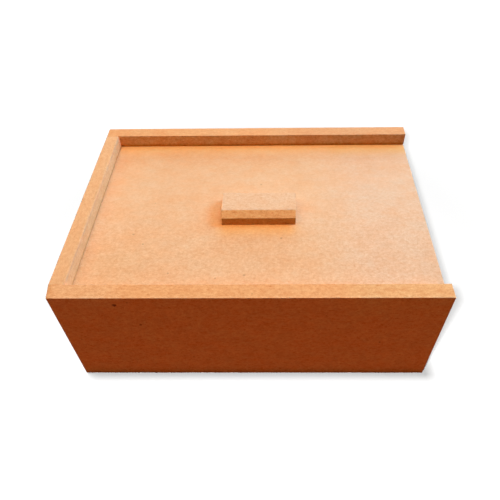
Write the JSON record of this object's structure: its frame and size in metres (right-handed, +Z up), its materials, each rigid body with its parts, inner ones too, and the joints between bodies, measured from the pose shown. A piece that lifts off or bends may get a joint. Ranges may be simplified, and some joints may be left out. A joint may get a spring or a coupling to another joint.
{
  "type": "sliding lid box",
  "caption": "Rectangular unfinished fibreboard box with a thin lid that slides out lengthways in grooves under the rim, with a small grip block on top.",
  "frame": {"origin": "middle of the underside, level with the four walls' bottom edges", "axes": "+X along the box, the way the lid slides out; +Z up; the front long wall faces -Y"},
  "size_m": [0.2, 0.15, 0.07],
  "materials": {
    "wall_board": "matte",
    "panel_board": "matte",
    "grip_wood": "matte",
    "pin_steel": null
  },
  "bodies": {
    "box": {"front_wall": "wall_board", "back_wall": "wall_board", "left_end_wall": "wall_board", "right_end_wall": "wall_board", "bottom_panel": "panel_board", "front_left_pin_1": "pin_steel", "front_left_pin_2": "pin_steel", "front_left_pin_3": "pin_steel", "front_right_pin_1": "pin_steel", "front_right_pin_2": "pin_steel", "front_right_pin_3": "pin_steel", "back_left_pin_1": "pin_steel", "back_left_pin_2": "pin_steel", "back_left_pin_3": "pin_steel", "back_right_pin_1": "pin_steel", "back_right_pin_2": "pin_steel", "back_right_pin_3": "pin_steel"},
    "lid": {"lid_panel": "panel_board", "lid_grip": "grip_wood", "grip_pin_1": "pin_steel", "grip_pin_2": "pin_steel"}
  },
  "joints": [
    {"name": "lid_slide", "type": "slide", "parent": "box", "child": "lid", "axis": [1, 0, 0], "range_m": [0, 0.19]}
  ]
}
